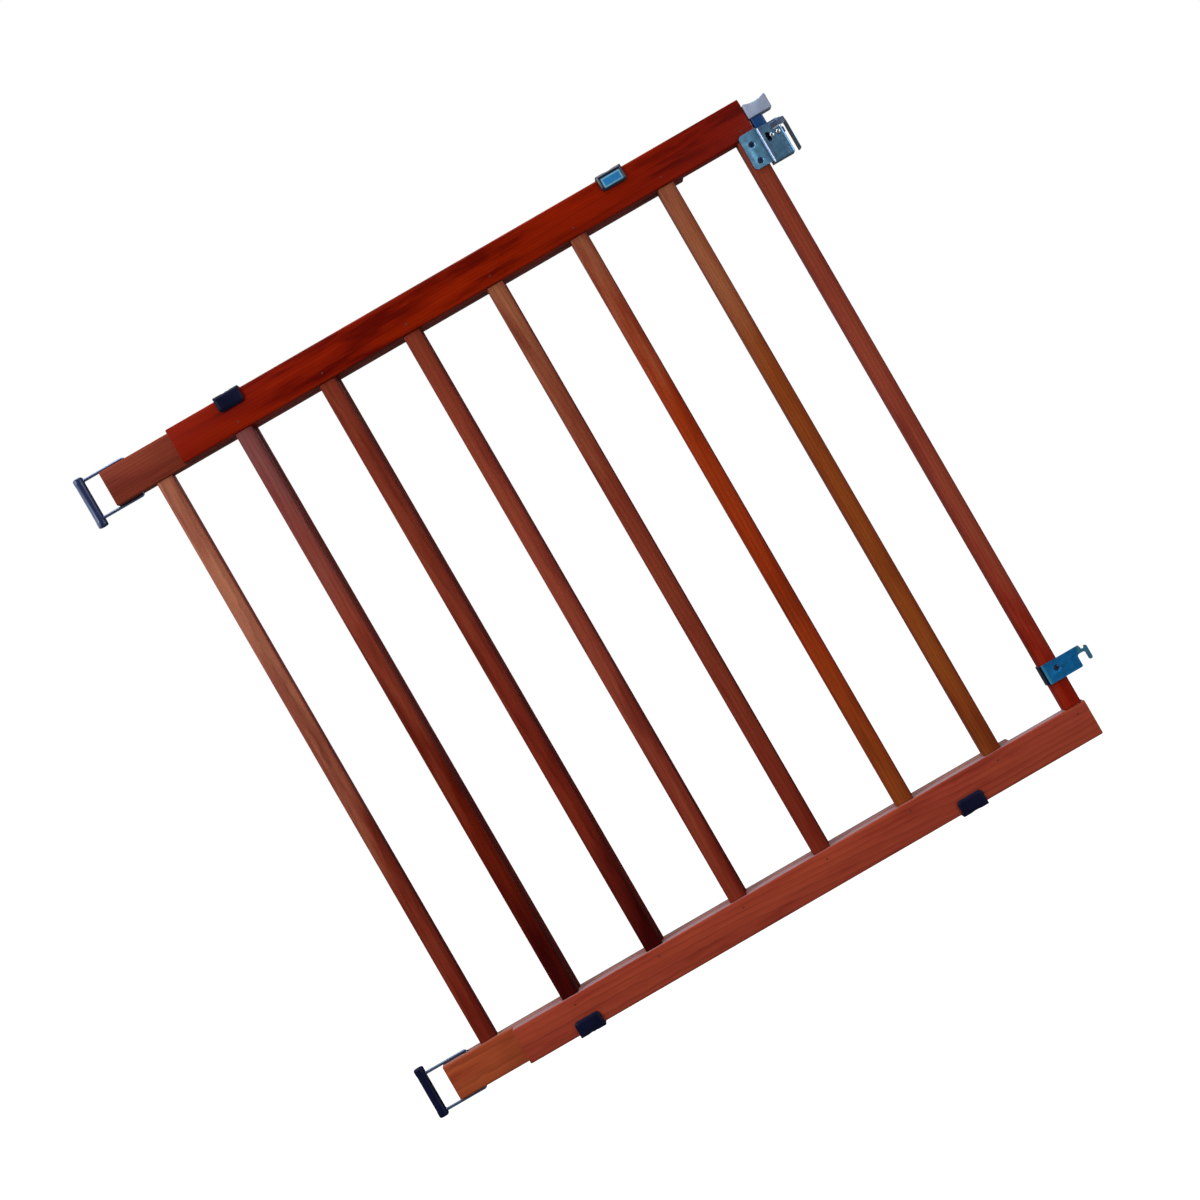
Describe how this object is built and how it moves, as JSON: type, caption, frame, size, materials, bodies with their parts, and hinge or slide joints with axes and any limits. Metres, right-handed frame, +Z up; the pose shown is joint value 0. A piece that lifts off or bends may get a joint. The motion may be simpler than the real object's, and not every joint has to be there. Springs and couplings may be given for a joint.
{
  "type": "sliding-width wooden baby gate",
  "caption": "Width-adjustable wooden swing safety gate: two barred panels slide past each other in clips, with wire-loop hinges on one side and a lift latch and drop-on hook on the other.",
  "frame": {"origin": "middle of the gate's footprint in plan, at the height of its lowest point, with the width at rest", "axes": "+Z up, +X from the hinge side towards the latch side, front face with the latch towards -Y"},
  "size_m": [0.7884, 0.0484, 0.7313],
  "materials": {
    "cherry_red_rail": "cherry stain under satin varnish",
    "cherry_rail": "cherry stain under satin varnish",
    "cherry_brown_rail": "lighter cherry stain under satin varnish",
    "cherry_bar": "cherry stain under satin varnish",
    "zinc_sheet": "blue-passivated zinc plate, satin",
    "blue_zinc_plate": "blue-passivated zinc plate, satin",
    "zinc_wire": "plated steel wire",
    "bright_steel": "bright plated steel",
    "dark_steel": "dark oxide, satin",
    "navy_plastic": "moulded, satin",
    "bush_plastic": "moulded, satin",
    "knob_plastic": "moulded, satin"
  },
  "bodies": {
    "rear_panel": {"rear_top_rail": "cherry_brown_rail", "rear_bottom_rail": "cherry_brown_rail", "rear_bar_1": "cherry_bar", "rear_bar_2": "cherry_bar", "rear_bar_3": "cherry_bar", "rear_bar_4": "cherry_bar", "rear_bar_5": "cherry_bar", "rear_bar_6": "cherry_bar", "rear_bar_7": "cherry_bar", "top_right_clip": "navy_plastic", "top_right_clip_screw": "dark_steel", "bottom_right_clip": "navy_plastic", "bottom_right_clip_screw": "dark_steel", "upper_bail_bush_top": "bush_plastic", "upper_bail_bush_bottom": "bush_plastic", "lower_bail_bush_top": "bush_plastic", "lower_bail_bush_bottom": "bush_plastic"},
    "front_panel": {"front_top_rail": "cherry_red_rail", "front_bottom_rail": "cherry_rail", "front_bar_1": "cherry_bar", "front_bar_2": "cherry_bar", "front_bar_3": "cherry_bar", "front_bar_4": "cherry_bar", "front_bar_5": "cherry_bar", "front_bar_6": "cherry_bar", "latch_stile": "cherry_bar", "top_left_clip": "navy_plastic", "top_left_clip_screw": "dark_steel", "bottom_left_clip": "navy_plastic", "bottom_left_clip_screw": "dark_steel", "width_lock_screw": "zinc_wire", "latch_housing": "zinc_sheet", "latch_back_plate": "zinc_sheet", "latch_screw_1": "dark_steel", "latch_screw_2": "dark_steel", "bolt_guide": "bush_plastic", "guide_rivet_1": "bright_steel", "guide_rivet_2": "bright_steel", "latch_spring": "bright_steel", "lower_hook_bracket": "blue_zinc_plate", "hook_screw": "dark_steel"},
    "upper_bail": {"upper_bail_wire": "zinc_wire", "upper_hinge_sleeve": "navy_plastic"},
    "lower_bail": {"lower_bail_wire": "zinc_wire", "lower_hinge_sleeve": "navy_plastic"},
    "knob_plunger": {"lift_knob": "knob_plastic", "plunger_rod": "bright_steel", "cross_pin": "bright_steel"},
    "bolt": {"latch_bolt": "dark_steel"}
  },
  "joints": [
    {"name": "panel_slide", "type": "slide", "parent": "rear_panel", "child": "front_panel", "axis": [1, 0, 0], "range_m": [-0.081, 0.277]},
    {"name": "upper_bail_swing", "type": "hinge", "parent": "rear_panel", "child": "upper_bail", "pos_m": [-0.3386, 0.0115, 0.7057], "axis": [0, 0, 1], "range_deg": [-90, 90]},
    {"name": "lower_bail_swing", "type": "hinge", "parent": "rear_panel", "child": "lower_bail", "pos_m": [-0.3386, 0.0115, 0.0257], "axis": [0, 0, 1], "range_deg": [-90, 90]},
    {"name": "knob_lift", "type": "slide", "parent": "front_panel", "child": "knob_plunger", "axis": [0, 0, 1], "range_m": [0, 0.005], "stiffness_N_per_m": 300, "springref_m": -0.01, "deforming": ["latch_spring"]},
    {"name": "bolt_draw", "type": "slide", "parent": "front_panel", "child": "bolt", "axis": [-1, 0, 0], "range_m": [0, 0.0035]}
  ],
  "couplings": [
    {"joint": "bolt_draw", "follows": "knob_lift", "ratio": 0.7}
  ]
}
